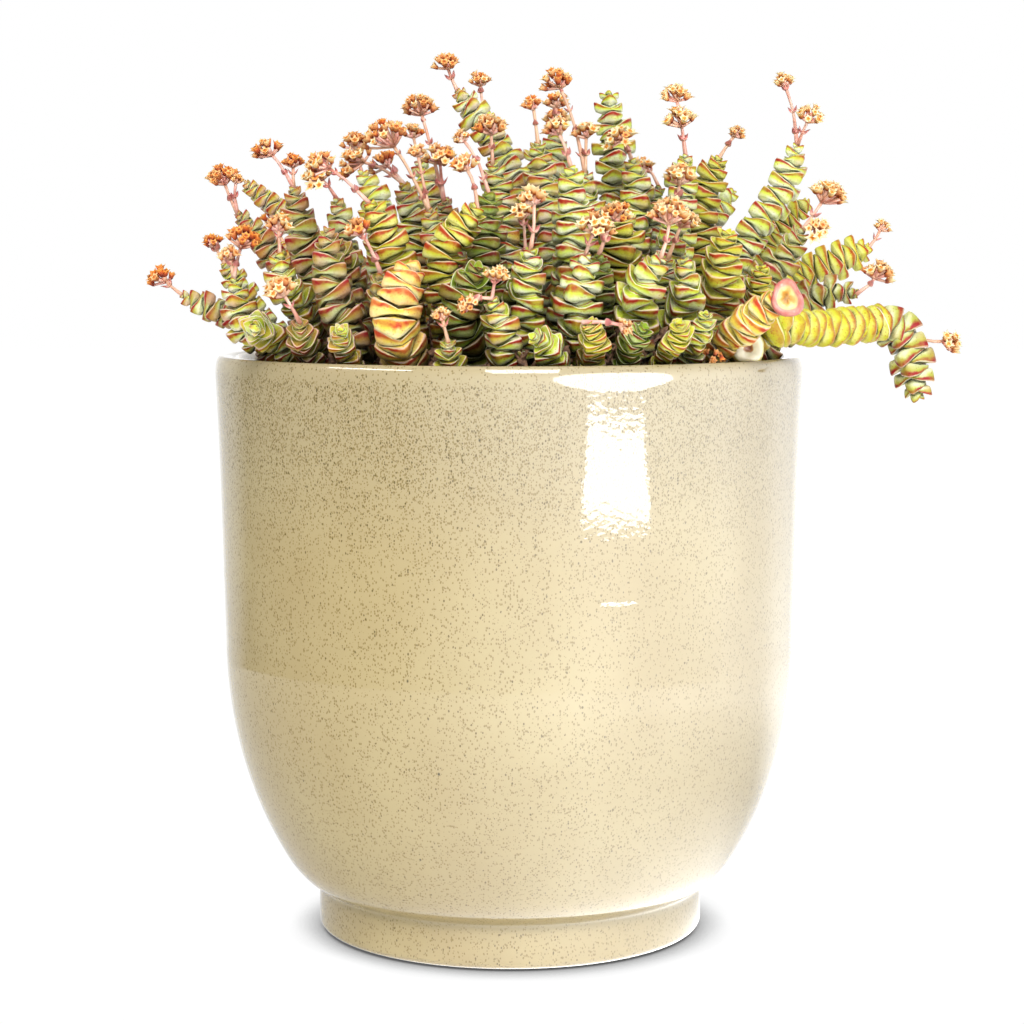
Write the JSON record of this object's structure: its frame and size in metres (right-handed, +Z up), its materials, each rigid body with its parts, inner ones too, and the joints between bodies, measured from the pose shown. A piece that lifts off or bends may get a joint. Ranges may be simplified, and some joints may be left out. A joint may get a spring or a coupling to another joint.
{
  "type": "potted succulent",
  "caption": "Stacked-leaf succulent with dry flower sprays, growing in a round speckled glazed stoneware pot filled with soil.",
  "frame": {"origin": "middle of the pot's flat underside", "axes": "+Z up the pot's axis, -Y towards the viewer of the picture, the trailing stem at +X"},
  "size_m": [0.2031, 0.1561, 0.2261],
  "materials": {
    "glazed_stoneware": "glossy speckled beige-olive glaze on wheel-thrown stoneware",
    "potting_soil": "matt dark brown gritty potting soil",
    "leaf_green": "waxy yellow-green leaves with red-brown margins",
    "leaf_deep_green": "waxy deep green leaves with red-brown margins",
    "leaf_lime": "waxy lime leaves with rose margins",
    "leaf_rose": "waxy rose-tinted leaves with maroon margins",
    "flower_spray": "dry orange-brown florets on pink stalks"
  },
  "bodies": {
    "root": {"pot": "glazed_stoneware", "soil": "potting_soil", "spray_01_1": "flower_spray", "plant_01": "leaf_rose", "spray_02_1": "flower_spray", "spray_02_3": "flower_spray", "plant_02": "leaf_green", "spray_03_1": "flower_spray", "spray_03_2": "flower_spray", "plant_03": "leaf_rose", "plant_04": "leaf_green", "spray_05_1": "flower_spray", "spray_05_2": "flower_spray", "plant_05": "leaf_rose", "spray_06_1": "flower_spray", "spray_06_2": "flower_spray", "plant_06": "leaf_lime", "spray_07_1": "flower_spray", "spray_07_2": "flower_spray", "plant_07": "leaf_rose", "plant_08": "leaf_lime", "spray_09_1": "flower_spray", "spray_09_3": "flower_spray", "plant_09": "leaf_green", "spray_10_2": "flower_spray", "plant_10": "leaf_deep_green", "spray_11_2": "flower_spray", "plant_11": "leaf_deep_green", "spray_12_1": "flower_spray", "spray_12_3": "flower_spray", "plant_12": "leaf_green", "spray_13_1": "flower_spray", "plant_13": "leaf_green", "spray_14_1": "flower_spray", "spray_14_4": "flower_spray", "plant_14": "leaf_green", "spray_15_1": "flower_spray", "plant_15": "leaf_green", "spray_16_1": "flower_spray", "spray_16_2": "flower_spray", "plant_16": "leaf_green", "spray_17_3": "flower_spray", "plant_17": "leaf_green", "spray_18_2": "flower_spray", "plant_18": "leaf_lime", "spray_19_1": "flower_spray", "spray_19_3": "flower_spray", "plant_19": "leaf_rose", "spray_20_1": "flower_spray", "spray_20_3": "flower_spray", "plant_20": "leaf_green", "spray_21_1": "flower_spray", "plant_21": "leaf_green", "spray_22_1": "flower_spray", "spray_22_2": "flower_spray", "plant_22": "leaf_green", "spray_23_1": "flower_spray", "plant_23": "leaf_lime"}
  },
  "joints": []
}
